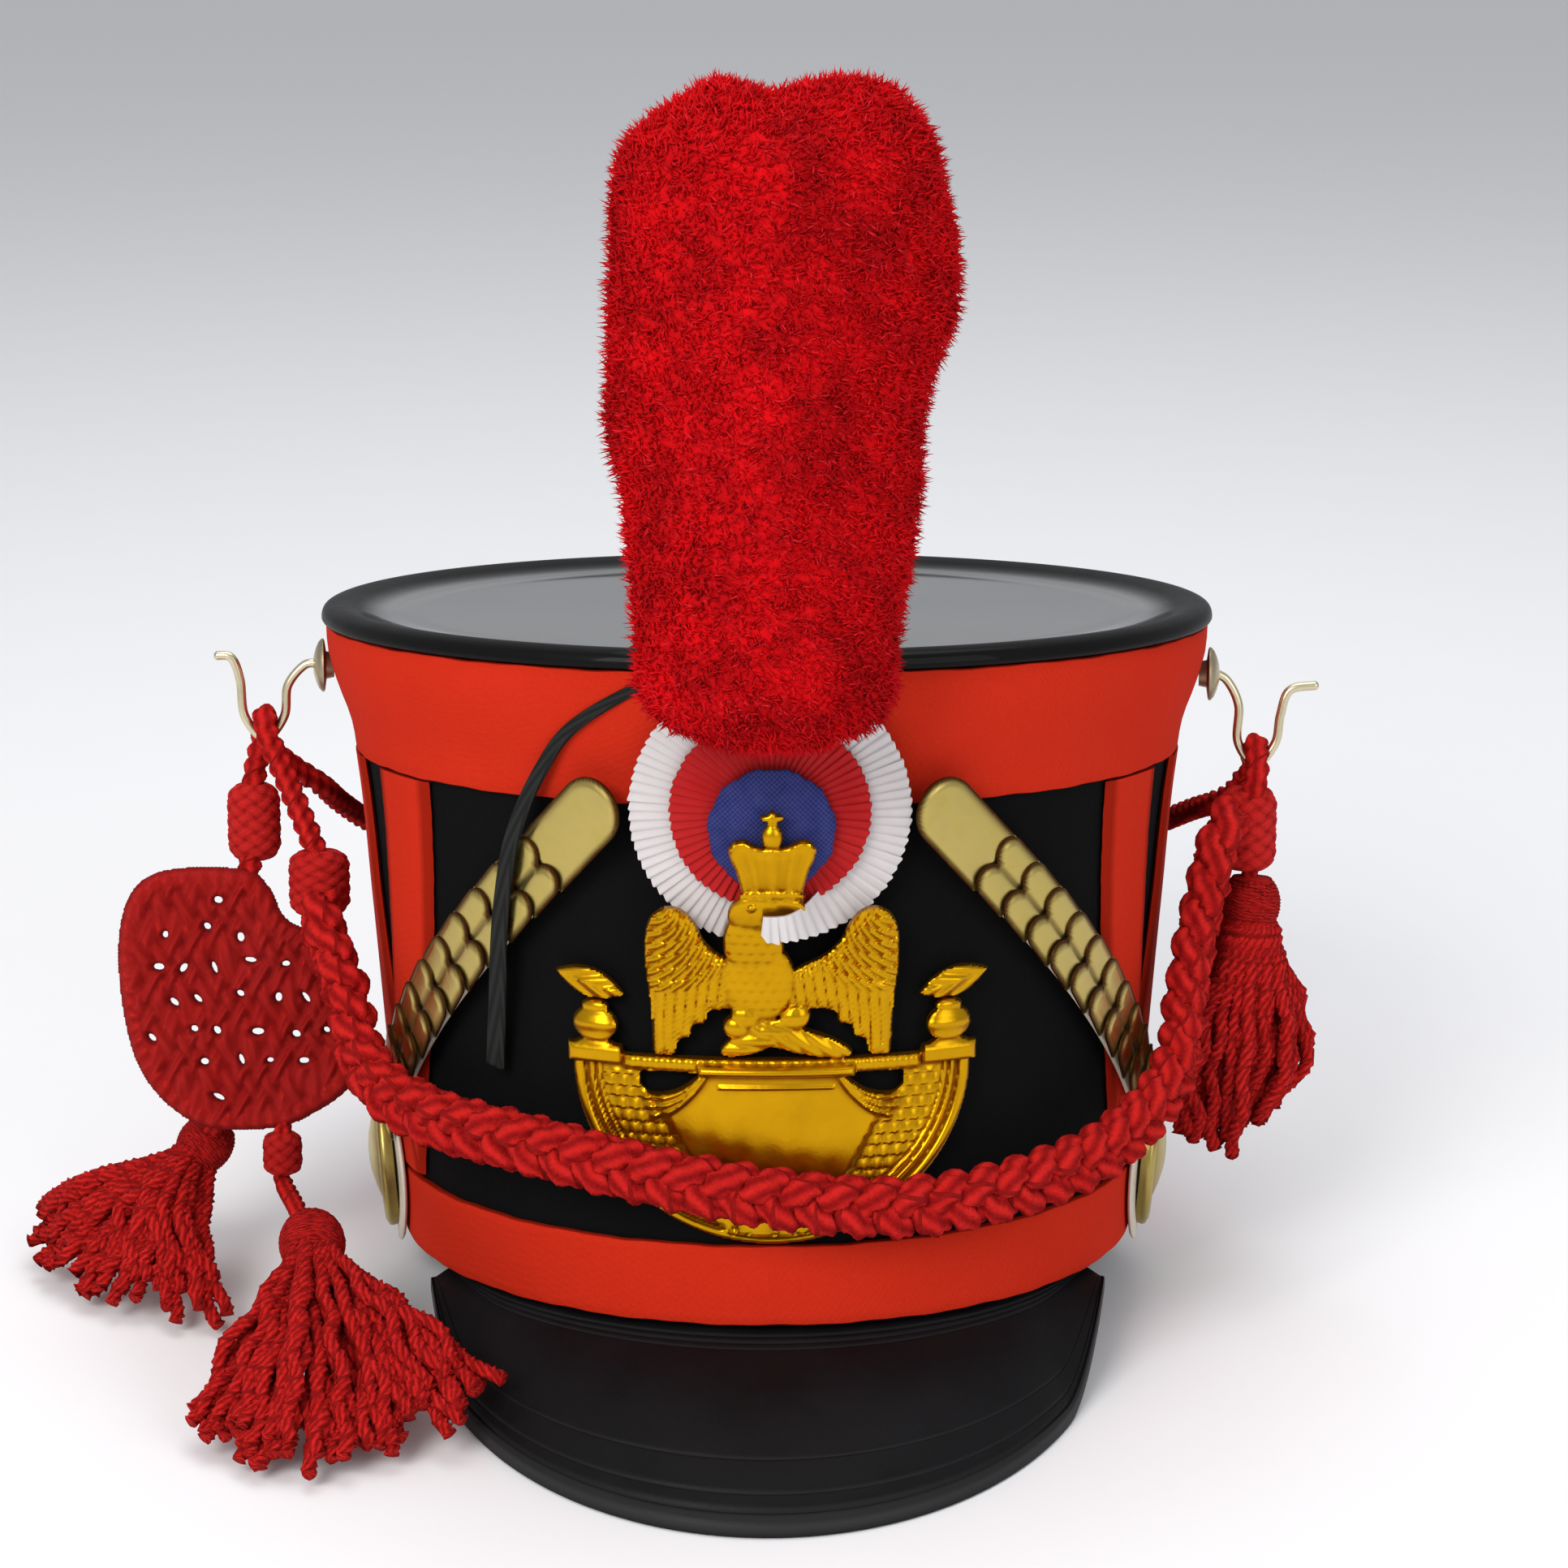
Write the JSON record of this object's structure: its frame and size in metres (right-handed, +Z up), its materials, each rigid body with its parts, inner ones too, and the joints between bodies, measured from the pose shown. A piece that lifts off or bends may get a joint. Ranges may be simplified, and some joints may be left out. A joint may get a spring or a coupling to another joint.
{
  "type": "shako hat",
  "caption": "Tall felt shako with red cloth bands, leather crown and peak, pleated cockade, brass eagle plate, scaled chin straps, wool plume and hanging cords with pad and tassels.",
  "frame": {"origin": "on the ground under the middle of the hat's box without its hanging cords", "axes": "+Z up from the ground, -Y towards the front where the peak and plate are, +X to the viewer's right"},
  "size_m": [0.3494, 0.294, 0.3279],
  "materials": {
    "felt": "black wool felt, matt with a faint nap",
    "black_leather": "black leather with a polished gloss",
    "red_cloth": "vermilion wool cloth, matt",
    "red_yarn": "brick red twisted wool yarn",
    "plume_wool": "crimson clipped wool pile",
    "white_cloth": "white pleated ribbon",
    "blue_cloth": "navy blue cloth",
    "yellow_brass": "warm yellow cast brass, polished on the high parts",
    "pale_brass": "pale polished brass with darker edges",
    "white_leather": "off-white buff leather"
  },
  "bodies": {
    "root": {"felt_body": "felt", "crown_top": "black_leather", "upper_band": "red_cloth", "lower_band": "red_cloth", "chevron_left": "red_cloth", "chevron_right": "red_cloth", "peak": "black_leather", "cockade_white": "white_cloth", "cockade_red": "red_cloth", "cockade_blue": "blue_cloth", "eagle_plate": "yellow_brass", "chin_strap_left": "white_leather", "chin_strap_right": "white_leather", "chin_boss_left": "pale_brass", "chin_boss_right": "pale_brass", "scale_left_01": "pale_brass", "scale_left_02": "pale_brass", "scale_left_03": "pale_brass", "scale_left_04": "pale_brass", "scale_left_05": "pale_brass", "scale_left_06": "pale_brass", "scale_left_07": "pale_brass", "scale_left_08": "pale_brass", "scale_left_09": "pale_brass", "scale_left_10": "pale_brass", "scale_left_11": "pale_brass", "scale_tip_left": "pale_brass", "scale_right_01": "pale_brass", "scale_right_02": "pale_brass", "scale_right_03": "pale_brass", "scale_right_04": "pale_brass", "scale_right_05": "pale_brass", "scale_right_06": "pale_brass", "scale_right_07": "pale_brass", "scale_right_08": "pale_brass", "scale_right_09": "pale_brass", "scale_right_10": "pale_brass", "scale_right_11": "pale_brass", "scale_tip_right": "pale_brass", "plume": "plume_wool", "hook_left": "pale_brass", "hook_right": "pale_brass", "loop_left": "red_yarn", "loop_right": "red_yarn", "slide_left_upper": "red_yarn", "slide_left_lower": "red_yarn", "slide_right": "red_yarn", "pad_knot": "red_yarn", "raquette_pad": "red_yarn", "front_braid": "red_yarn", "rear_cord": "red_yarn", "tie_lace": "black_leather", "tassel_left_rear": "red_yarn", "tassel_left_front": "red_yarn", "tassel_right": "red_yarn"}
  },
  "joints": []
}
